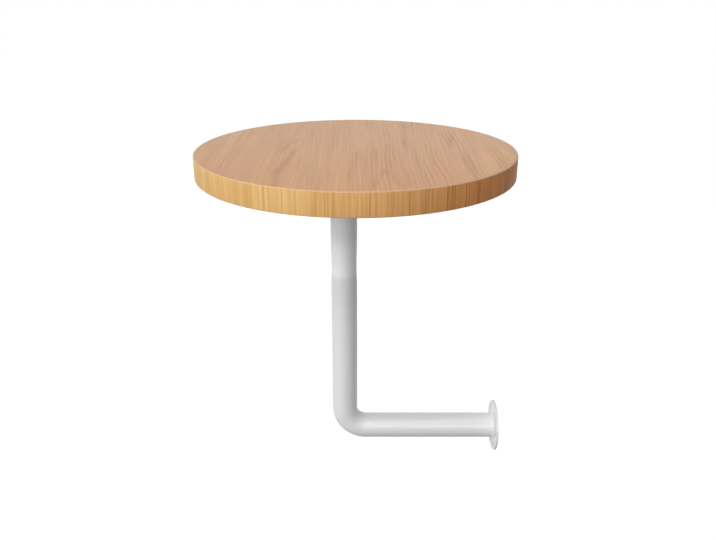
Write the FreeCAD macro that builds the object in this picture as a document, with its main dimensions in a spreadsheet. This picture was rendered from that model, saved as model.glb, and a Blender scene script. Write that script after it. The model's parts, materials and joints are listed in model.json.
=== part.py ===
import FreeCAD, Part
import math
import os

import Sketcher
from FreeCAD import Rotation, Vector

# Round table on a wall bracket. Millimetres, +Z up. The origin is the middle of the flange's
# back face, on the axis of the arm; the wall is the plane X = 0 and lies on the +X side.

SIZES = {
    # Round top: a covered board with a band glued round its rim.
    "top_diameter": 400.0,
    "top_thickness": 28.0,
    "laminate_thickness": 0.8,
    "band_thickness": 2.0,
    "band_glue_line": 0.1,
    "arris_share": 0.6,
    # Where the top and the post stand.
    "wall_gap": 1.0,
    "post_offset": 15.5,
    "top_height": 406.0,
    # Pipe, with its elbow and its butt welds.
    "tube_diameter": 35.0,
    "tube_wall": 2.5,
    "bend_inner_radius": 12.5,
    "elbow_land": 3.2,
    "weld_root_share": 0.3,
    # Joint in the post, with the shallow hollow that dressing the weld left.
    "joint_drop": 156.0,
    "hollow_length": 52.0,
    "hollow_depth_share": 0.32,
    "sleeve_length": 60.0,
    "sleeve_wall": 2.5,
    "sleeve_clearance": 0.1,
    # Fillet welds at the two ends of the pipe.
    "fillet_leg": 3.0,
    # Plate under the top. Its rim is the width of plate outside the pipe.
    "plate_rim": 58.0,
    "plate_thickness": 4.0,
    "plate_edge_radius": 0.8,
    "plate_hole_margin": 17.0,
    "plate_hole_clearance": 0.3,
    "plate_hole_count": 4,
    # Screws, washers and threaded inserts that hold the plate.
    "screw_diameter": 6.0,
    "screw_engagement_share": 0.8,
    "screw_head_overhang": 2.25,
    "screw_head_height": 3.3,
    "screw_head_flat": 5.6,
    "screw_dome_radius": 4.6,
    "socket_width": 4.0,
    "socket_depth": 2.1,
    "washer_rim": 4.0,
    "washer_thickness": 1.6,
    "washer_clearance": 0.2,
    "insert_wall": 2.0,
    "insert_length_share": 0.55,
    "insert_room": 2.0,
    "insert_clearance": 0.1,
    "thread_clearance": 0.1,
    # Flange at the wall. Its rim is the width of plate outside the pipe.
    "flange_rim": 18.0,
    "flange_thickness": 3.0,
    "flange_edge_radius": 0.8,
    "flange_hole_diameter": 5.5,
    "flange_hole_count": 4,
    # How far cuts run past the solid that they cut.
    "cut_overrun": 2.0,
}

# Sizes and places that follow from the driving ones, as expressions on the sheet.
TOP_X = "-(Sizes.top_diameter / 2 + Sizes.wall_gap)"
POST_X = f"({TOP_X} - Sizes.post_offset)"
BOARD_DIAMETER = "(Sizes.top_diameter - 2 * (Sizes.band_thickness + Sizes.band_glue_line))"
BOARD_FLOOR = "(Sizes.top_height - Sizes.top_thickness)"
CORE_THICKNESS = "(Sizes.top_thickness - 2 * Sizes.laminate_thickness)"

TUBE_OUTER = "(Sizes.tube_diameter / 2)"
TUBE_INNER = f"({TUBE_OUTER} - Sizes.tube_wall)"
GROOVE_DEPTH = "(Sizes.tube_wall * (1 - Sizes.weld_root_share))"
GROOVE_ROOT = f"({TUBE_OUTER} - {GROOVE_DEPTH})"
HOLLOW_DEPTH = "(Sizes.tube_wall * Sizes.hollow_depth_share)"
SLEEVE_OUTER = f"({TUBE_INNER} - Sizes.sleeve_clearance)"
SLEEVE_INNER = f"({SLEEVE_OUTER} - Sizes.sleeve_wall)"
BEND_RADIUS = f"({TUBE_OUTER} + Sizes.bend_inner_radius)"
ELBOW_TANGENT = f"({GROOVE_DEPTH} + Sizes.elbow_land)"
ELBOW_REACH = f"({BEND_RADIUS} + {ELBOW_TANGENT})"

PLATE_FLOOR = f"({BOARD_FLOOR} - Sizes.plate_thickness)"
PLATE_DIAMETER = "(Sizes.tube_diameter + 2 * Sizes.plate_rim)"
PLATE_HOLE_X = f"({TUBE_OUTER} + Sizes.plate_rim - Sizes.plate_hole_margin)"
PLATE_HOLE_DIAMETER = "(Sizes.screw_diameter + 2 * Sizes.plate_hole_clearance)"
WASHER_FLOOR = f"({PLATE_FLOOR} - Sizes.washer_thickness)"
INSERT_LENGTH = "(Sizes.top_thickness * Sizes.insert_length_share)"
INSERT_DIAMETER = "(Sizes.screw_diameter + 2 * (Sizes.thread_clearance + Sizes.insert_wall))"
INSERT_HOLE_DIAMETER = f"({INSERT_DIAMETER} + 2 * Sizes.insert_clearance)"
SCREW_GRIP = "(Sizes.washer_thickness + Sizes.plate_thickness)"
SCREW_LENGTH = f"({SCREW_GRIP} + {INSERT_LENGTH} * Sizes.screw_engagement_share)"
FLANGE_DIAMETER = "(Sizes.tube_diameter + 2 * Sizes.flange_rim)"
FLANGE_HOLE_CIRCLE = "(Sizes.tube_diameter + Sizes.fillet_leg + Sizes.flange_rim)"

JOINT_Z = "(Sizes.top_height - Sizes.joint_drop)"
UPPER_LENGTH = f"({PLATE_FLOOR} - {JOINT_Z})"
LOWER_LENGTH = f"({JOINT_Z} - {ELBOW_REACH})"
ARM_START = f"({POST_X} + {ELBOW_REACH})"
ARM_LENGTH = f"(-Sizes.flange_thickness - {ARM_START})"

LENGTH_TOLERANCE = 1e-6
Z_TO_X = Rotation(Vector(0, 1, 0), 90)
X_TO_MINUS_X = Rotation(Vector(0, 0, 1), 180)

doc = FreeCAD.newDocument("RoundWallTable")
sheet = doc.addObject("Spreadsheet::Sheet", "Sizes")
for row, (alias, value) in enumerate(SIZES.items(), start=1):
    sheet.set(f"A{row}", alias)
    sheet.set(f"B{row}", str(value))
    sheet.setAlias(f"B{row}", alias)
doc.recompute()

bodies = []


# Sketches.
def number(expression):
    """The present value of an expression on the sheet."""
    return float(sheet.evalExpression(expression))


def new_body(label, x="0", z="0", turn=Rotation()):
    """A body named after its piece, with its place bound to the sheet."""
    body = doc.addObject("PartDesign::Body", label)
    body.Label = label
    body.Placement.Rotation = turn
    body.setExpression("Placement.Base.x", x)
    body.setExpression("Placement.Base.z", z)
    bodies.append(body)
    return body


def sketch_on(body, role, name):
    """A sketch on one of the body's own origin planes."""
    sketch = body.newObject("Sketcher::SketchObject", f"{body.Label}_{name}")
    plane = next(feature for feature in body.Origin.OriginFeatures if feature.Role == role)
    sketch.AttachmentSupport = [(plane, "")]
    sketch.MapMode = "FlatFace"
    return sketch


def bind_value(sketch, kind, *arguments):
    """A dimension whose value is an expression; the expression is the last argument."""
    *elements, expression = arguments
    index = sketch.addConstraint(Sketcher.Constraint(kind, *elements, number(expression)))
    sketch.setExpression(f"Constraints[{index}]", expression)


def bind_point(sketch, geometry, end, x, y):
    """Ties a point of a sketch to two expressions, or to an axis where one is zero."""
    for kind, axis, expression in (("DistanceX", -2, x), ("DistanceY", -1, y)):
        if expression == "0":
            sketch.addConstraint(Sketcher.Constraint("PointOnObject", geometry, end, axis))
        else:
            bind_value(sketch, kind, -1, 1, geometry, end, expression)


def arc_between(start, end, radius):
    """The shorter arc from start to end that bulges to the right of the way it runs."""
    half_chord = (end - start) / 2
    to_left = Vector(-half_chord.y, half_chord.x, 0).normalize()
    centre = start + half_chord + to_left * math.sqrt(radius**2 - half_chord.Length**2)
    first = math.atan2(start.y - centre.y, start.x - centre.x)
    last = math.atan2(end.y - centre.y, end.x - centre.x)
    if last < first:
        last += 2 * math.pi
    return Part.ArcOfCircle(Part.Circle(centre, Vector(0, 0, 1), radius), first, last)


def outline(sketch, corners, arcs=None):
    """A closed outline through corners given as expressions, anticlockwise.

    arcs gives the radius of each edge that bulges out as an arc, under the number of the
    corner that the edge starts from.
    """
    arcs = arcs or {}
    points = [Vector(number(x), number(y), 0) for x, y in corners]
    for index, start in enumerate(points):
        end = points[(index + 1) % len(points)]
        if index in arcs:
            sketch.addGeometry(arc_between(start, end, number(arcs[index])), False)
        else:
            sketch.addGeometry(Part.LineSegment(start, end), False)
    for index, (x, y) in enumerate(corners):
        following = (index + 1) % len(corners)
        sketch.addConstraint(Sketcher.Constraint("Coincident", index, 2, following, 1))
        bind_point(sketch, index, 1, x, y)
    for index, radius in arcs.items():
        bind_value(sketch, "Radius", index, radius)


def circle(sketch, diameter, x="0", y="0"):
    """A circle whose centre and diameter are expressions."""
    centre = Vector(number(x), number(y), 0)
    index = sketch.addGeometry(Part.Circle(centre, Vector(0, 0, 1), number(diameter) / 2), False)
    bind_value(sketch, "Diameter", index, diameter)
    bind_point(sketch, index, 3, x, y)


def upright_axis(sketch, x, rise):
    """A construction line up the sketch at x, as an axis to turn a profile about."""
    foot = Vector(number(x), 0, 0)
    head = Vector(number(x), number(rise), 0)
    index = sketch.addGeometry(Part.LineSegment(foot, head), True)
    bind_point(sketch, index, 1, x, "0")
    bind_point(sketch, index, 2, x, rise)


# Features.
def turn_solid(body, sketch, axis="V_Axis", angle=360):
    """Turns a profile about an axis of its sketch."""
    feature = body.newObject("PartDesign::Revolution", f"{body.Label}_Turned")
    feature.Profile = sketch
    feature.ReferenceAxis = (sketch, [axis])
    feature.Angle = angle
    doc.recompute()
    return feature


def raise_solid(body, sketch, length, backwards=False):
    """Pads a profile by a length that is an expression."""
    feature = body.newObject("PartDesign::Pad", f"{body.Label}_Pad")
    feature.Profile = sketch
    feature.setExpression("Length", length)
    feature.Reversed = backwards
    doc.recompute()


def finish_cut(body, feature, volume_before):
    """Makes sure that a cut took something away."""
    doc.recompute()
    if body.Shape.Volume >= volume_before:
        raise RuntimeError(f"{feature.Label} removed nothing")
    return feature


def turn_cut(body, sketch):
    """Turns a profile about the upright axis of its sketch and cuts it out of the body."""
    volume_before = body.Shape.Volume
    feature = body.newObject("PartDesign::Groove", f"{body.Label}_Groove")
    feature.Profile = sketch
    feature.ReferenceAxis = (sketch, ["V_Axis"])
    feature.Angle = 360
    return finish_cut(body, feature, volume_before)


def sink_cut(body, sketch, depth):
    """Cuts a profile upwards into a body by a depth that is an expression."""
    volume_before = body.Shape.Volume
    feature = body.newObject("PartDesign::Pocket", f"{body.Label}_Pocket")
    feature.Profile = sketch
    feature.setExpression("Length", depth)
    feature.Reversed = True
    return finish_cut(body, feature, volume_before)


def repeat_round(body, features, sketch, count):
    """Repeats features in a full circle about the axis square to a sketch at its origin."""
    pattern = body.newObject("PartDesign::PolarPattern", f"{body.Label}_Pattern")
    pattern.Originals = features
    pattern.Axis = (sketch, ["N_Axis"])
    pattern.Angle = 360
    pattern.setExpression("Occurrences", count)
    body.Tip = pattern
    doc.recompute()


def circular_edges(body, diameter, is_wanted):
    """A body's last feature and its circular edges of one diameter with a wanted centre."""
    names = []
    for index, edge in enumerate(body.Tip.Shape.Edges, start=1):
        if not isinstance(edge.Curve, Part.Circle):
            continue
        same_size = abs(2 * edge.Curve.Radius - number(diameter)) < LENGTH_TOLERANCE
        if same_size and is_wanted(edge.Curve.Center):
            names.append(f"Edge{index}")
    return body.Tip, names


def dress_edges(body, kind, size_name, size, edges):
    """Rounds or bevels edges, with the size bound to an expression."""
    feature = body.newObject(f"PartDesign::{kind}", f"{body.Label}_{kind}")
    feature.Base = edges
    feature.setExpression(size_name, size)
    doc.recompute()


# Round top.
def board_disc(label, floor, thickness, hole_depth=None):
    """A disc of the board; where it takes the inserts, their holes ring the post's axis.

    The body's own origin is on the post's axis, on the disc's lower face.
    """
    body = new_body(label, POST_X, floor)
    disc = sketch_on(body, "XY_Plane", "Disc")
    circle(disc, BOARD_DIAMETER, "Sizes.post_offset")
    raise_solid(body, disc, thickness)
    if hole_depth:
        hole = sketch_on(body, "XY_Plane", "InsertHole")
        circle(hole, INSERT_HOLE_DIAMETER, PLATE_HOLE_X)
        cut = sink_cut(body, hole, hole_depth)
        repeat_round(body, [cut], hole, "Sizes.plate_hole_count")


def edge_band():
    """Band round the rim, over the edges of the board and of both sheets."""
    body = new_body("edge_band", TOP_X, BOARD_FLOOR)
    section = sketch_on(body, "XZ_Plane", "Section")
    outer = "(Sizes.top_diameter / 2)"
    inner = f"({outer} - Sizes.band_thickness)"
    rise = "Sizes.top_thickness"
    outline(section, [(inner, "0"), (outer, "0"), (outer, rise), (inner, rise)])
    turn_solid(body, section)
    arrises = circular_edges(body, "Sizes.top_diameter", lambda centre: True)
    dress_edges(body, "Fillet", "Radius", "Sizes.band_thickness * Sizes.arris_share", arrises)


# Pipe and its joints.
def tube(label, length, x, z, turn=Rotation(), bevel_head=False):
    """A straight pipe up its own Z, with its foot, and its head if asked, bevelled for a weld."""
    body = new_body(label, x, z, turn)
    section = sketch_on(body, "XZ_Plane", "Section")
    corners = [(TUBE_INNER, "0"), (GROOVE_ROOT, "0"), (TUBE_OUTER, GROOVE_DEPTH)]
    if bevel_head:
        corners += [(TUBE_OUTER, f"{length} - {GROOVE_DEPTH}"), (GROOVE_ROOT, length)]
    else:
        corners += [(TUBE_OUTER, length)]
    outline(section, corners + [(TUBE_INNER, length)])
    turn_solid(body, section)
    return body


def weld_section(distance):
    """Corners of the weld in the V between two pipe ends: distance along the pipe, then radius."""
    return [
        (distance, GROOVE_ROOT),
        (f"{distance} + {GROOVE_DEPTH}", TUBE_OUTER),
        (f"{distance} - {GROOVE_DEPTH}", TUBE_OUTER),
    ]


def weld_on_post(body, distance):
    """A butt weld round the body's own Z."""
    section = sketch_on(body, "XZ_Plane", "PostRing")
    outline(section, [(radius, along) for along, radius in reversed(weld_section(distance))])
    turn_solid(body, section)


def weld_on_arm(body, distance):
    """A butt weld round the body's own X."""
    section = sketch_on(body, "XZ_Plane", "ArmRing")
    outline(section, weld_section(distance))
    turn_solid(body, section, "H_Axis")


def dress_hollow(body, joint):
    """Cuts the shallow hollow round the post, centred at a height in the body's own frame."""
    section = sketch_on(body, "XZ_Plane", "Hollow")
    outside = f"({TUBE_OUTER} + Sizes.cut_overrun)"
    low = f"({joint} - Sizes.hollow_length / 2)"
    high = f"({joint} + Sizes.hollow_length / 2)"
    radius = f"(Sizes.hollow_length^2 / 4 + {HOLLOW_DEPTH}^2) / (2 * {HOLLOW_DEPTH})"
    corners = [(TUBE_OUTER, low), (outside, low), (outside, high), (TUBE_OUTER, high)]
    hollow_edge = len(corners) - 1
    outline(section, corners, {hollow_edge: radius})
    turn_cut(body, section)


def joint_sleeve():
    """Sleeve inside the post, half in each of the two pipes that meet at the joint."""
    body = new_body("joint_sleeve", POST_X, f"{JOINT_Z} - Sizes.sleeve_length / 2")
    ring = sketch_on(body, "XY_Plane", "Ring")
    for radius in (SLEEVE_OUTER, SLEEVE_INNER):
        circle(ring, f"2 * {radius}")
    raise_solid(body, ring, "Sizes.sleeve_length")


def elbow():
    """Quarter bend with a short straight tangent at each end, bevelled for its welds.

    The body's own origin is the centre of the bend; the post's end lies along its +X and the
    arm's end along its -Z.
    """
    body = new_body("elbow", f"{POST_X} + {BEND_RADIUS}", BEND_RADIUS, X_TO_MINUS_X)
    post_end = sketch_on(body, "XY_Plane", "PostEnd")
    arm_end = sketch_on(body, "YZ_Plane", "ArmEnd")
    for radius in (TUBE_OUTER, TUBE_INNER):
        circle(post_end, f"2 * {radius}", BEND_RADIUS, "0")
        circle(arm_end, f"2 * {radius}", "0", f"-{BEND_RADIUS}")
    turn_solid(body, post_end, angle=90)
    raise_solid(body, post_end, ELBOW_TANGENT)
    raise_solid(body, arm_end, ELBOW_TANGENT, backwards=True)
    tangent = number(ELBOW_TANGENT)

    def at_end(centre):
        return min(abs(centre.z - tangent), abs(centre.x + tangent)) < LENGTH_TOLERANCE

    ends = circular_edges(body, "Sizes.tube_diameter", at_end)
    dress_edges(body, "Chamfer", "Size", GROOVE_DEPTH, ends)


def fillet_weld(label, x, z, turn=Rotation()):
    """A ring of weld in the corner between the pipe and a plate that lies across its head."""
    body = new_body(label, x, z, turn)
    section = sketch_on(body, "XZ_Plane", "Section")
    leg = "Sizes.fillet_leg"
    outline(section, [(TUBE_OUTER, "0"), (f"{TUBE_OUTER} + {leg}", leg), (TUBE_OUTER, leg)])
    turn_solid(body, section)


# Plates and fasteners.
def holed_plate(label, x, z, turn, sizes):
    """A round plate with its lower rim rounded and a ring of holes through it.

    sizes gives, as expressions, its diameter, thickness and rim radius, then the holes'
    diameter, count and first place.
    """
    diameter, thickness, edge_radius, hole_diameter, hole_count, hole_x, hole_y = sizes
    body = new_body(label, x, z, turn)
    disc = sketch_on(body, "XY_Plane", "Disc")
    circle(disc, diameter)
    raise_solid(body, disc, thickness)
    lower_rim = circular_edges(body, diameter, lambda centre: abs(centre.z) < LENGTH_TOLERANCE)
    dress_edges(body, "Fillet", "Radius", edge_radius, lower_rim)
    hole = sketch_on(body, "XY_Plane", "Hole")
    circle(hole, hole_diameter, hole_x, hole_y)
    cut = sink_cut(body, hole, f"{thickness} + Sizes.cut_overrun")
    repeat_round(body, [cut], hole, hole_count)


def top_plate():
    """Plate that the post's head is welded to, screwed to the underside of the top."""
    thickness = "Sizes.plate_thickness"
    edge_radius = "Sizes.plate_edge_radius"
    count = "Sizes.plate_hole_count"
    sizes = (PLATE_DIAMETER, thickness, edge_radius, PLATE_HOLE_DIAMETER, count, PLATE_HOLE_X, "0")
    holed_plate("top_plate", POST_X, PLATE_FLOOR, Rotation(), sizes)


def wall_flange():
    """Plate that the arm's end is welded to, with its screw holes on the diagonals."""
    thickness = "Sizes.flange_thickness"
    edge_radius = "Sizes.flange_edge_radius"
    hole = "Sizes.flange_hole_diameter"
    count = "Sizes.flange_hole_count"
    diagonal = f"{FLANGE_HOLE_CIRCLE} / sqrt(8)"
    sizes = (FLANGE_DIAMETER, thickness, edge_radius, hole, count, diagonal, diagonal)
    holed_plate("wall_flange", f"-{thickness}", "0", Z_TO_X, sizes)


def first_fastener(label, floor, rise, corners, arcs=None):
    """Turns a fastener at the first hole about its own axis; corners start from that axis."""
    body = new_body(label, POST_X, floor)
    section = sketch_on(body, "XZ_Plane", "Section")
    outline(section, [(f"{PLATE_HOLE_X} + {x}", z) for x, z in corners], arcs)
    upright_axis(section, PLATE_HOLE_X, rise)
    return body, turn_solid(body, section, "Axis0")


def repeat_fasteners(body, features):
    """Repeats a fastener's features at each hole of the plate."""
    ring = sketch_on(body, "XY_Plane", "HoleCircle")
    circle(ring, f"2 * {PLATE_HOLE_X}")
    repeat_round(body, features, ring, "Sizes.plate_hole_count")


def pipe_fasteners(label, floor, inner, outer, rise):
    """A washer or an insert at each hole: a short pipe on the hole's axis."""
    corners = [(inner, "0"), (outer, "0"), (outer, rise), (inner, rise)]
    body, turned = first_fastener(label, floor, rise, corners)
    repeat_fasteners(body, [turned])


def threaded_inserts():
    """Inserts in the board that the screws turn into, flush with its underside."""
    inner = "Sizes.screw_diameter / 2 + Sizes.thread_clearance"
    pipe_fasteners("threaded_inserts", BOARD_FLOOR, inner, f"{INSERT_DIAMETER} / 2", INSERT_LENGTH)


def plate_washers():
    """Washers between the screw heads and the plate."""
    inner = "Sizes.screw_diameter / 2 + Sizes.washer_clearance"
    outer = "Sizes.screw_diameter / 2 + Sizes.washer_rim"
    pipe_fasteners("plate_washers", WASHER_FLOOR, inner, outer, "Sizes.washer_thickness")


def plate_screws():
    """Button-head screws with a hexagon socket; the body's own floor is the top of the heads."""
    head = "Sizes.screw_head_height"
    shank = "Sizes.screw_diameter / 2"
    tip = f"{head} + {SCREW_LENGTH}"
    corners = [
        ("0", "0"),
        ("Sizes.screw_head_flat / 2", "0"),
        (f"{shank} + Sizes.screw_head_overhang", head),
        (shank, head),
        (shank, tip),
        ("0", tip),
    ]
    arcs = {1: "Sizes.screw_dome_radius"}
    body, turned = first_fastener("plate_screws", f"{WASHER_FLOOR} - {head}", tip, corners, arcs)
    socket = sketch_on(body, "XY_Plane", "Socket")
    point = "Sizes.socket_width / sqrt(3)"
    flat = "Sizes.socket_width / 2"
    hexagon = [
        (f"{PLATE_HOLE_X} + {point}", "0"),
        (f"{PLATE_HOLE_X} + {point} / 2", flat),
        (f"{PLATE_HOLE_X} - {point} / 2", flat),
        (f"{PLATE_HOLE_X} - {point}", "0"),
        (f"{PLATE_HOLE_X} - {point} / 2", f"-{flat}"),
        (f"{PLATE_HOLE_X} + {point} / 2", f"-{flat}"),
    ]
    outline(socket, hexagon)
    cut = sink_cut(body, socket, "Sizes.socket_depth")
    repeat_fasteners(body, [turned, cut])


# The assembly, from the top to the wall.
laminate = "Sizes.laminate_thickness"
board_disc("top_laminate", f"Sizes.top_height - {laminate}", laminate)
core_hole_depth = f"{INSERT_LENGTH} - {laminate} + Sizes.insert_room"
board_disc("core_board", f"{BOARD_FLOOR} + {laminate}", CORE_THICKNESS, core_hole_depth)
board_disc("backing_laminate", BOARD_FLOOR, laminate, f"{laminate} + Sizes.cut_overrun")
edge_band()

threaded_inserts()
top_plate()
plate_washers()
plate_screws()
fillet_weld("plate_weld", POST_X, f"{PLATE_FLOOR} - Sizes.fillet_leg")

upper_post = tube("upper_post", UPPER_LENGTH, POST_X, JOINT_Z)
joint_weld = new_body("joint_weld", POST_X, JOINT_Z)
weld_on_post(joint_weld, "0")
lower_post = tube("lower_post", LOWER_LENGTH, POST_X, ELBOW_REACH, bevel_head=True)
for body, joint in ((upper_post, "0"), (joint_weld, "0"), (lower_post, LOWER_LENGTH)):
    dress_hollow(body, joint)
joint_sleeve()

elbow()
elbow_welds = new_body("elbow_welds", POST_X)
weld_on_post(elbow_welds, ELBOW_REACH)
weld_on_arm(elbow_welds, ELBOW_REACH)
tube("arm_tube", ARM_LENGTH, ARM_START, "0", Z_TO_X)
fillet_weld("flange_weld", "-Sizes.flange_thickness - Sizes.fillet_leg", "0", Z_TO_X)
wall_flange()

# Every feature has to be sound before a piece is written.
doc.recompute()
for item in doc.Objects:
    if "Invalid" in item.State or "Error" in item.State:
        raise RuntimeError(f"{item.Label} failed: {item.State}")
for body in bodies:
    if body.Shape.isNull() or not body.Shape.isValid() or not body.Shape.Solids:
        raise RuntimeError(f"{body.Label} has no sound solid")

os.makedirs("parts", exist_ok=True)
for body in bodies:
    body.Shape.exportStep(os.path.join("parts", f"{body.Label}.step"))
    print(f"{body.Label}: {len(body.Shape.Solids)} solid(s), {body.Shape.Volume:.1f} cubic mm")
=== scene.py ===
import json
import math

import bmesh
import bpy
from mathutils import Matrix, Vector


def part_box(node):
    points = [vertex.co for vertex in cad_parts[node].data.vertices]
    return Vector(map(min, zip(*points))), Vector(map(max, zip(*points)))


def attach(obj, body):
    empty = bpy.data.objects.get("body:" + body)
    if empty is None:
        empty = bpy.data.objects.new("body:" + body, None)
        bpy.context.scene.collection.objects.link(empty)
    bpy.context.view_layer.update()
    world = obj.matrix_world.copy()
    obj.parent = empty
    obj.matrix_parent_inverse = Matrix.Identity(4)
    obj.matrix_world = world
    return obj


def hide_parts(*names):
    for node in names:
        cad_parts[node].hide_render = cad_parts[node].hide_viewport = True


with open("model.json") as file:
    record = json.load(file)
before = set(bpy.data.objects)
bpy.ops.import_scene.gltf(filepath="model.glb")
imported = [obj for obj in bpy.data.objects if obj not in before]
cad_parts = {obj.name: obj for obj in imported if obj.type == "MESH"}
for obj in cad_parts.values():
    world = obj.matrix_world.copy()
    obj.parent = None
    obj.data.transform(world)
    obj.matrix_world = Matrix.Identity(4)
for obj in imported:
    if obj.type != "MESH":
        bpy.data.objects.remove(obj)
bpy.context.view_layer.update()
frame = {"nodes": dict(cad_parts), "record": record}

MM = 0.001

# Places on the part, in metres, read from its pieces.
rim_low, rim_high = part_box("edge_band")
TOP_CENTRE = (rim_low + rim_high) / 2
TOP_CENTRE.z = rim_high.z
TOP_RADIUS = (rim_high.y - rim_low.y) / 2
TOP_THICKNESS = rim_high.z - rim_low.z
joint_low, joint_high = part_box("joint_weld")
JOINT_HEIGHT = (joint_low.z + joint_high.z) / 2
plate_weld_low, plate_weld_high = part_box("plate_weld")
flange_weld_low, flange_weld_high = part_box("flange_weld")


# Colours and the shader maths.
FULL_LEVEL = 255
SRGB_OFFSET = 0.055
SRGB_POWER = 2.4
WHITE = [1.0, 1.0, 1.0, 1.0]


def colour(red, green, blue):
    """A linear colour with full alpha from the levels that a picture shows, each 11 to 255."""
    levels = [level / FULL_LEVEL for level in (red, green, blue)]
    return [((level + SRGB_OFFSET) / (1 + SRGB_OFFSET)) ** SRGB_POWER for level in levels] + [1.0]


class Value:
    """A socket that gives a value; arithmetic on it adds Math nodes to its finish."""

    def __init__(self, finish, socket):
        self.finish = finish
        self.socket = socket

    def __add__(self, other):
        return self.finish.math("ADD", self, other)

    def __radd__(self, other):
        return self.finish.math("ADD", other, self)

    def __sub__(self, other):
        return self.finish.math("SUBTRACT", self, other)

    def __rsub__(self, other):
        return self.finish.math("SUBTRACT", other, self)

    def __mul__(self, other):
        return self.finish.math("MULTIPLY", self, other)

    def __rmul__(self, other):
        return self.finish.math("MULTIPLY", other, self)

    def __truediv__(self, other):
        return self.finish.math("DIVIDE", self, other)

    def __rtruediv__(self, other):
        return self.finish.math("DIVIDE", other, self)


# Sockets of a Mix node that mixes two colours.
MIX_SHARE = 0
MIX_FIRST = 6
MIX_SECOND = 7
MIX_RESULT = 2

# Where a stroke starts to show and where it is whole, as shares of its length from either end.
STROKE_SHOWS = -0.15
STROKE_WHOLE = 0.2


class Finish:
    """A material in the making. Lengths in its patterns are millimetres from a middle point."""

    def __init__(self, name):
        self.material = bpy.data.materials.new(name)
        self.material.use_nodes = True
        self.tree = self.material.node_tree
        self.tree.nodes.clear()

    def node(self, kind, settings=None, inputs=None, output=0):
        """Adds a node: its settings first, then the values or links of its sockets."""
        node = self.tree.nodes.new(f"ShaderNode{kind}")
        for name, setting in (settings or {}).items():
            setattr(node, name, setting)
        for key, given in (inputs or {}).items():
            if isinstance(given, Value):
                self.tree.links.new(given.socket, node.inputs[key])
            else:
                node.inputs[key].default_value = given
        return Value(self, node.outputs[output]) if node.outputs else None

    def math(self, operation, *operands):
        """One sum on values and numbers."""
        return self.node("Math", {"operation": operation}, dict(enumerate(operands)))

    def place(self, middle=(0, 0, 0)):
        """Millimetres from a middle point that is given in metres."""
        where = self.node("TexCoord", output="Object")
        shift = Vector(middle) / -MM
        return self.node("Mapping", {}, {"Vector": where, "Location": shift, "Scale": [1 / MM] * 3})

    def along(self, axis, place):
        """One of the three numbers of a place."""
        return self.node("SeparateXYZ", {}, {"Vector": place}, axis)

    def noise(self, place, sizes, detail=2.0, roughness=0.5):
        """Noise whose lumps have the given sizes in millimetres along X, Y and Z."""
        scale = [1 / size for size in sizes]
        stretched = self.node("Mapping", {}, {"Vector": place, "Scale": scale})
        inputs = {"Vector": stretched, "Scale": 1.0, "Detail": detail, "Roughness": roughness}
        return self.node("TexNoise", {"noise_dimensions": "3D"}, inputs)

    def step(self, value, start, end, low=0.0, high=1.0):
        """Goes smoothly from low to high as the value goes from start to end."""
        limits = {"Value": value, "From Min": start, "From Max": end, "To Min": low, "To Max": high}
        return self.node("MapRange", {"interpolation_type": "SMOOTHSTEP"}, limits)

    def stroke(self, x, y, start, end, half_width):
        """One along a line between two points of a face, and nothing at half a width from it."""
        start_x, start_y = start
        end_x, end_y = end
        share = (y - start_y) / (end_y - start_y)
        off = x - (share * (end_x - start_x) + start_x)
        body = self.step(self.math("ABSOLUTE", off), 0, half_width, 1.0, 0.0)
        fade_in = self.step(share, STROKE_SHOWS, STROKE_WHOLE)
        fade_out = self.step(share, 1 - STROKE_WHOLE, 1 - STROKE_SHOWS, 1.0, 0.0)
        return body * fade_in * fade_out

    def blend(self, share, first, second, way="MIX"):
        """A colour between two, or the first one tinted by the second."""
        settings = {"data_type": "RGBA", "blend_type": way, "clamp_factor": True}
        inputs = {MIX_SHARE: share, MIX_FIRST: first, MIX_SECOND: second}
        return self.node("Mix", settings, inputs, MIX_RESULT)

    def bump(self, height, depth):
        """A normal bent by a height from 0 to 1 that stands for a depth in millimetres."""
        return self.node("Bump", {}, {"Height": height, "Strength": 1.0, "Distance": depth * MM})

    def close(self, shader):
        """Gives the material its shader."""
        self.node("OutputMaterial", {}, {"Surface": shader})
        return self.material

    def done(self, **sockets):
        """Closes the finish with its shader; names have underscores where sockets have spaces."""
        inputs = {name.replace("_", " "): given for name, given in sockets.items()}
        return self.close(self.node("BsdfPrincipled", {}, inputs))


# Strokes of the face's grain: start, end, half width and strength, in millimetres from the
# middle of the top, with Y to the back. They are darker, or lighter with a strength under 0.
FACE_STROKES = (
    ((-77, 142), (-78, 78), 5.0, 0.4),
    ((-75, 62), (-94, -18), 7.0, 0.55),
    ((-73, 8), (-87, -130), 8.0, 0.55),
    ((-87, -95), (-82, -190), 7.0, 0.45),
    ((131, 88), (119, 8), 7.0, 0.65),
    ((128, -35), (130, -155), 10.0, 0.5),
    ((69, 175), (61, -45), 6.0, 0.45),
    ((61, -30), (55, -165), 6.0, 0.35),
    ((25, 0), (24, -65), 4.0, 0.35),
    ((40, 28), (41, -14), 6.0, 0.4),
    ((33, -100), (33, -130), 7.0, 0.4),
    ((32, -112), (16, -200), 6.0, 0.4),
    ((34, -118), (55, -200), 6.0, 0.3),
    ((-5, -92), (-6, -155), 4.0, 0.35),
    ((4, -60), (5, -180), 5.0, -0.4),
    ((172, 80), (186, -50), 6.0, -0.4),
    ((-62, 90), (-64, -40), 5.0, -0.3),
    ((110, 120), (104, -90), 4.0, -0.3),
    ((158, -20), (144, -150), 18.0, -0.5),
)

# Width of a year's growth on the face, and the spans over which its grain wanders sideways in
# long and in short bends, in millimetres. The strokes follow a share of the short bends.
RING_WIDTH = 5.4
GRAIN_SWAY = 18
GRAIN_RIPPLE = 3
STROKE_RIPPLE_SHARE = 0.7


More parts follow.
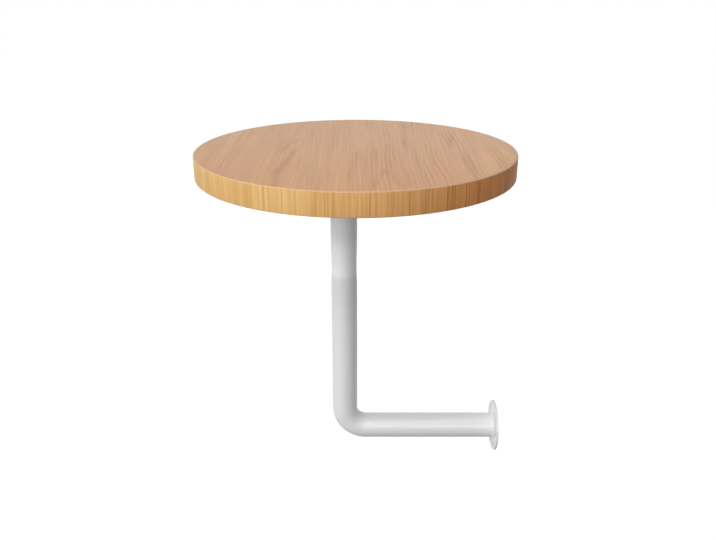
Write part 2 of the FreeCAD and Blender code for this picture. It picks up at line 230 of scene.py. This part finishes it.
def oak_face():
    """Satin oak decor: straight grain from front to back with a few stronger strokes."""
    finish = Finish("oak_face")
    place = finish.place(TOP_CENTRE)
    x = finish.along("X", place)
    y = finish.along("Y", place)
    sway = (finish.noise(place, (60, 240, 60), 2.0) - 0.5) * GRAIN_SWAY
    ripple = (finish.noise(place, (9, 60, 9), 2.0) - 0.5) * GRAIN_RIPPLE
    phase = finish.math("FRACT", (x + sway + ripple) / RING_WIDTH)
    late = finish.step(phase, 0.35, 0.9) * finish.step(phase, 0.9, 1.0, 1.0, 0.0)
    late = late * finish.step(finish.noise(place, (24, 260, 24), 1.0), 0.36, 0.6)
    late = late * finish.step(x, -20, 60, 0.45, 1.0)
    fine = finish.noise(place, (1.7, 120, 30), 3.0, 0.6)
    streaky = finish.step(fine, 0.3, 0.7)
    broad = finish.step(finish.noise(place, (13, 330, 60), 2.0), 0.3, 0.7)
    pores = finish.step(finish.noise(place, (0.7, 9, 9), 2.0, 0.55), 0.6, 0.75)
    stroke_x = x + ripple * STROKE_RIPPLE_SHARE
    strokes = 0.0
    for start, end, half_width, strength in FACE_STROKES:
        strokes = strokes + finish.stroke(stroke_x, y, start, end, half_width) * strength
    tone = finish.step(x, -190, 190, 0.25, 0.06) + late * 0.42 + streaky * 0.24 + broad * 0.2
    tone = tone + strokes * (streaky * 0.45 + 0.28)
    wood = finish.blend(tone, colour(211, 167, 124), colour(172, 126, 87))
    wood = finish.blend(pores * 0.25, wood, colour(150, 106, 70))
    # Painted sheen: the face is tinted warmer and darker towards the front, so that the back looks
    # paler as a sheen makes it.
    wood = finish.blend(finish.step(y, 120, -190), wood, colour(249, 239, 225), "MULTIPLY")
    drift = finish.noise(place, (38, 130, 38), 1.0)
    wood = finish.blend(finish.step(drift, 0.4, 0.65), wood, colour(255, 249, 250), "MULTIPLY")
    wood = finish.blend(finish.step(drift, 0.5, 0.3), wood, colour(253, 255, 245), "MULTIPLY")
    return finish.done(
        Base_Color=wood,
        Roughness=finish.step(fine, 0.2, 0.8, 0.42, 0.5),
        Normal=finish.bump(fine * 0.5 + (1 - pores) * 0.5, 0.03),
        Specular_IOR_Level=0.5,
    )


def oak_edge():
    """Oak band round the rim: upright grain, painted light on its left, painted shade towards the
    wall and a painted highlight along its upper arris.
    """
    finish = Finish("oak_edge")
    place = finish.place(TOP_CENTRE)
    x = finish.along("X", place)
    z = finish.along("Z", place)
    fine = finish.noise(place, (2.4, 2.4, 90), 3.0, 0.65)
    broad = finish.noise(place, (12, 12, 400), 2.0)
    lines = finish.noise(place, (2.6, 2.6, 150), 1.0, 0.5) + finish.step(x, -40, 120, 0.0, 0.035)
    lines = finish.step(lines, 0.58, 0.7)
    tone = finish.step(fine, 0.3, 0.7) * 0.6 + finish.step(broad, 0.3, 0.7) * 0.4
    wood = finish.blend(tone, colour(219, 180, 120), colour(193, 151, 93))
    wood = finish.blend(lines * finish.step(x, -60, 90, 0.3, 0.65), wood, colour(162, 110, 66))
    # Painted light: the band stays paler and yellower on the left, where the light falls, and is
    # dulled from the middle on.
    wood = finish.blend(finish.step(x, -90, 40), wood, colour(255, 240, 233), "MULTIPLY")
    # Painted shade: the band turns darker and browner towards the wall, away from the light.
    wood = finish.blend(finish.step(x, 20, 190), wood, colour(246, 212, 195), "MULTIPLY")
    # Painted highlight: a paler, greyer line along the upper arris, strongest on the right.
    arris_highlight = finish.step(z, -1.6, -0.6) * finish.step(x, -60, 110, 0.5, 0.9)
    wood = finish.blend(arris_highlight, wood, colour(201, 168, 140))
    return finish.done(
        Base_Color=wood,
        Roughness=finish.step(fine, 0.2, 0.8, 0.45, 0.55),
        Normal=finish.bump(fine * 0.6 + (1 - lines) * 0.4, 0.04),
        Specular_IOR_Level=0.12,
    )


def particle_core():
    """Raw edge of the board: pressed chips of several browns."""
    finish = Finish("particle_core")
    chips = finish.noise(finish.place(), (2.4, 2.4, 0.9), 3.0, 0.7)
    wood = finish.blend(finish.step(chips, 0.35, 0.65), colour(186, 150, 108), colour(140, 106, 72))
    return finish.done(Base_Color=wood, Roughness=0.85, Normal=finish.bump(chips, 0.2))


def backing_sheet():
    """Balancing sheet under the board: plain oak-coloured melamine with a faint pearl texture."""
    finish = Finish("backing_sheet")
    place = finish.place()
    pearl = finish.noise(place, (0.9, 0.9, 0.9), 2.0)
    cloud = finish.noise(place, (60, 160, 60), 2.0)
    return finish.done(
        Base_Color=finish.blend(cloud, colour(212, 176, 138), colour(202, 166, 128)),
        Roughness=finish.step(pearl, 0.3, 0.7, 0.5, 0.62),
        Normal=finish.bump(pearl, 0.03),
        Specular_IOR_Level=0.3,
    )


# Heights from the joint in the post, in millimetres: the stretches over which the highlight painted
# on it fades out below and above it, and over which the shade painted under it fades out downwards.
HIGHLIGHT_FOOT = (-24, -7)
HIGHLIGHT_HEAD = (22, 50)
PAINTED_SHADE_FOOT = (-100, -30)


def grey_paint():
    """Glossy light grey powder coat, with a highlight painted on the dressed joint and shade
    painted under it.
    """
    finish = Finish("grey_paint")
    place = finish.place((0, 0, JOINT_HEIGHT))
    z = finish.along("Z", place)
    peel = finish.noise(place, (1.6, 1.6, 1.6), 2.0, 0.45)
    cloud = finish.noise(place, (35, 35, 35), 2.0)
    joint_highlight = finish.step(z, *HIGHLIGHT_FOOT) * finish.step(z, *HIGHLIGHT_HEAD, 1.0, 0.0)
    painted_shade_under = finish.step(z, *PAINTED_SHADE_FOOT) * finish.step(z, *HIGHLIGHT_FOOT, 1.0, 0.0)
    grey = finish.blend(cloud, colour(229, 229, 230), colour(225, 225, 226))
    # Painted highlight: the paint turns paler over the dressed joint.
    grey = finish.blend(joint_highlight * 0.7, grey, colour(249, 249, 250))
    # Painted shade: the paint turns darker just under the joint.
    grey = finish.blend(painted_shade_under, grey, colour(222, 222, 223))
    return finish.done(
        Base_Color=grey,
        Roughness=finish.step(cloud, 0.3, 0.7, 0.2, 0.26),
        Normal=finish.bump(peel, 0.005),
        Specular_IOR_Level=0.5,
    )


def metal(name, light, dark, size, roughness):
    """A metal with fine marks of one size in millimetres, longer along Z."""
    finish = Finish(name)
    marks = finish.noise(finish.place(), (size, size, size * 4), 3.0, 0.6)
    return finish.done(
        Base_Color=finish.blend(marks, light, dark),
        Metallic=1.0,
        Roughness=finish.step(marks, 0.3, 0.7, roughness - 0.06, roughness + 0.06),
        Normal=finish.bump(marks, 0.01),
    )


FINISHES = {
    "oak_face": oak_face(),
    "oak_edge": oak_edge(),
    "particle_core": particle_core(),
    "backing_sheet": backing_sheet(),
    "grey_paint": grey_paint(),
    "zinc_steel": metal("zinc_steel", colour(206, 208, 210), colour(178, 181, 184), 1.2, 0.32),
    "bare_steel": metal("bare_steel", colour(160, 160, 162), colour(120, 120, 122), 2.0, 0.45),
    "insert_metal": metal("insert_metal", colour(214, 186, 112), colour(184, 154, 84), 1.5, 0.35),
}

# Every solid gets the finish of its own material slot.
for piece in frame["record"]["subparts"]:
    node = frame["nodes"][piece["node"]]
    node.data.materials.clear()
    node.data.materials.append(FINISHES[piece["material_slot"]])


# Pieces with more form than their solids.
SHARP_EDGE = math.radians(40)


def new_object(name, shape, material):
    """Makes an object at the origin from a finished bmesh."""
    mesh = bpy.data.meshes.new(name)
    shape.to_mesh(mesh)
    shape.free()
    mesh.materials.append(material)
    item = bpy.data.objects.new(name, mesh)
    bpy.context.collection.objects.link(item)
    return item


def stand_in(name, shape, node, slot):
    """A new piece in place of a solid, smooth but for its sharp edges."""
    bmesh.ops.recalc_face_normals(shape, faces=shape.faces)
    for face in shape.faces:
        face.smooth = True
    for edge in shape.edges:
        edge.smooth = edge.calc_face_angle(0) < SHARP_EDGE
    piece = new_object(name, shape, FINISHES[slot])
    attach(piece, "root")
    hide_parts(node)


def outline_loop(shape, points):
    """A closed loop of edges through points of radius and height, in the XZ plane."""
    corners = [shape.verts.new((radius, 0, height)) for radius, height in points]
    return corners + [shape.edges.new(pair) for pair in zip(corners, corners[1:] + corners[:1])]


def arc(middle, radius, first, last, steps):
    """Points of radius and height along an arc, with its angles in degrees."""
    out, up = middle
    turns = [math.radians(first + (last - first) * step / steps) for step in range(steps + 1)]
    return [(out + radius * math.cos(turn), up + radius * math.sin(turn)) for turn in turns]


# Edge band: its width, the round of its arrises and the gap between its butted ends.
BAND_WIDTH = 2.0 * MM
BAND_ARRIS = 1.2 * MM
SEAM_GAP = 0.15 * MM
ARRIS_STEPS = 5
BAND_STEPS = 420


def rim_band():
    """Band bent round the board, its two ends butted at the side of the wall."""
    shape = bmesh.new()
    inner = TOP_RADIUS - BAND_WIDTH
    turn_in = TOP_RADIUS - BAND_ARRIS
    points = [(inner, 0), (inner, -TOP_THICKNESS)]
    points += arc((turn_in, BAND_ARRIS - TOP_THICKNESS), BAND_ARRIS, -90, 0, ARRIS_STEPS)
    points += arc((turn_in, -BAND_ARRIS), BAND_ARRIS, 0, 90, ARRIS_STEPS)
    section = outline_loop(shape, points)
    seam = SEAM_GAP / TOP_RADIUS
    bmesh.ops.rotate(shape, verts=shape.verts, matrix=Matrix.Rotation(seam / 2, 3, "Z"))
    first_end = [item for item in section if isinstance(item, bmesh.types.BMEdge)]
    sweep = 2 * math.pi - seam
    spun = bmesh.ops.spin(shape, geom=section, axis=(0, 0, 1), angle=sweep, steps=BAND_STEPS)
    last_end = [item for item in spun["geom_last"] if isinstance(item, bmesh.types.BMEdge)]
    for loop in (first_end, last_end):
        bmesh.ops.contextual_create(shape, geom=loop)
    bmesh.ops.translate(shape, verts=shape.verts, vec=TOP_CENTRE)
    stand_in("rim_band", shape, "edge_band", "oak_edge")


# Fillet beads: the hollow of their face, and the ripples that the welder left round them. The
# mean is the share of a ripple's depth that lies level with the face, and the bow, in radians,
# bends the ripples into crescents.
BEAD_HOLLOW = 0.4 * MM
BEAD_FACE_STEPS = 8
RIPPLE_COUNT = 54
RIPPLE_STEPS = 6
RIPPLE_DEPTH = 0.1 * MM
RIPPLE_MEAN = 0.6
RIPPLE_BOW = 1.6
MERGE_DISTANCE = 0.005 * MM
PLATE_CLEARANCE = 0.01 * MM


def weld_bead(name, node, low, high, turn):
    """Hollow fillet bead with faint ripples; turn takes its own Z to the way to the plate."""
    shape = bmesh.new()
    leg = min(high - low)
    outer = max(high - low) / 2
    points = [(outer - leg, 0)]
    for step in range(BEAD_FACE_STEPS + 1):
        share = step / BEAD_FACE_STEPS
        sink = BEAD_HOLLOW * math.sin(math.pi * share) / math.sqrt(2)
        points.append((outer - leg * share - sink, sink - leg * share))
    section = outline_loop(shape, points)
    bmesh.ops.spin(
        shape,
        geom=section,
        axis=(0, 0, 1),
        angle=2 * math.pi,
        steps=RIPPLE_COUNT * RIPPLE_STEPS,
        use_merge=True,
    )
    bmesh.ops.remove_doubles(shape, verts=shape.verts, dist=MERGE_DISTANCE)
    for vertex in shape.verts:
        spread = Vector((vertex.co.x, vertex.co.y, 0))
        across = (outer - spread.length) / leg
        if 0 < across < 1 and vertex.co.z < -PLATE_CLEARANCE:
            bearing = math.atan2(vertex.co.y, vertex.co.x)
            wave = abs(math.sin(RIPPLE_COUNT / 2 * bearing + RIPPLE_BOW * (across - 0.5) ** 2))
            lift = RIPPLE_DEPTH * (wave - RIPPLE_MEAN) * math.sin(math.pi * across)
            vertex.co += (spread.normalized() + Vector((0, 0, -1))).normalized() * lift
    middle = (low + high) / 2 + turn @ Vector((0, 0, leg / 2))
    place = Matrix.Translation(middle) @ turn.to_4x4()
    bmesh.ops.transform(shape, verts=shape.verts, matrix=place)
    stand_in(name, shape, node, "grey_paint")


Z_TO_X = Matrix.Rotation(math.radians(90), 3, "Y")

rim_band()
weld_bead("plate_bead", "plate_weld", plate_weld_low, plate_weld_high, Matrix.Identity(3))
weld_bead("flange_bead", "flange_weld", flange_weld_low, flange_weld_high, Z_TO_X)


# Studio: floor, light and camera, in metres.
FLOOR_HEIGHT = -0.334
FLOOR_REACH = 40
FLOOR_GREY = [0.12, 0.12, 0.12, 1.0]
FLOOR_GLOW = 0.97
DAYLIGHT = 0.25


def seen_rays(finish):
    """One for rays that show the background: from the camera, or off and through surfaces."""
    seen = 0.0
    for kind in ("Camera", "Glossy", "Transmission"):
        seen = finish.math("MAXIMUM", seen, finish.node("LightPath", output=f"Is {kind} Ray"))
    return seen


def pale_floor():
    """Pale floor that shows white where it is lit and keeps a faint shadow."""
    finish = Finish("pale_floor")
    plain = finish.node("BsdfDiffuse", {}, {"Color": FLOOR_GREY})
    strength = seen_rays(finish) * FLOOR_GLOW
    glow = finish.node("Emission", {}, {"Color": WHITE, "Strength": strength})
    return finish.close(finish.node("AddShader", {}, {0: plain, 1: glow}))


floor_shape = bmesh.new()
bmesh.ops.create_grid(floor_shape, x_segments=1, y_segments=1, size=FLOOR_REACH)
bmesh.ops.translate(floor_shape, verts=floor_shape.verts, vec=(0, 0, FLOOR_HEIGHT))
new_object("floor", floor_shape, pale_floor())


class Sky(Finish):
    """The world's own node tree, built as a finish is."""

    def __init__(self, world):
        world.use_nodes = True
        self.tree = world.node_tree
        self.tree.nodes.clear()


world = bpy.data.worlds.new("studio")
bpy.context.scene.world = world
sky = Sky(world)
brightness = DAYLIGHT + seen_rays(sky) * (1 - DAYLIGHT)
background = sky.node("Background", {}, {"Color": WHITE, "Strength": brightness})
sky.node("OutputWorld", {}, {"Surface": background})

LAMP_TARGET = Vector((TOP_CENTRE.x, 0, TOP_CENTRE.z / 2))
LAMP_DISTANCE = 2.0

# Name, bearing and rise in degrees, width and height in metres, power in watts, and whether
# it shows in reflections. The bearing is counted to the left from the camera's side.
LAMPS = (
    ("key", 60, 20, 1.8, 1.6, 26, True),
    ("upper", 18, 49, 1.8, 1.5, 15, True),
    ("low", -6, 12, 1.1, 0.9, 9.5, True),
    ("overhead", 20, 80, 1.6, 1.6, 7, True),
    ("rear", 176, 12, 1.6, 1.2, 13, False),
)


def soft_lamp(name, bearing, rise, width, height, power, gloss):
    """A soft box that faces the part."""
    turn = math.radians(bearing)
    lift = math.radians(rise)
    level = Vector((-math.sin(turn), -math.cos(turn), 0))
    away = level * math.cos(lift) + Vector((0, 0, math.sin(lift)))
    lamp = bpy.data.lights.new(name, "AREA")
    lamp.shape = "RECTANGLE"
    lamp.size = width
    lamp.size_y = height
    lamp.energy = power
    item = bpy.data.objects.new(name, lamp)
    item.location = LAMP_TARGET + away * LAMP_DISTANCE
    item.rotation_euler = away.to_track_quat("Z", "Y").to_euler()
    item.visible_camera = False
    item.visible_glossy = gloss
    bpy.context.collection.objects.link(item)


for lamp_row in LAMPS:
    soft_lamp(*lamp_row)

# The camera stands square to the arm and looks down: its tilt from straight down in degrees,
# its focal length in pixels of the picture and the width of its sensor in millimetres.
CAMERA_PLACE = (-0.19804, -0.9176, 0.6074)
CAMERA_TILT = 68.296
FOCAL_PIXELS = 740
PICTURE_WIDTH = 716
SENSOR_WIDTH = 36

eye = bpy.data.cameras.new("camera")
eye.sensor_width = SENSOR_WIDTH
eye.lens = FOCAL_PIXELS / PICTURE_WIDTH * SENSOR_WIDTH
camera = bpy.data.objects.new("camera", eye)
camera.location = CAMERA_PLACE
camera.rotation_euler = (math.radians(CAMERA_TILT), 0, 0)
bpy.context.collection.objects.link(camera)
bpy.context.scene.camera = camera
bpy.context.scene.view_settings.view_transform = "Standard"
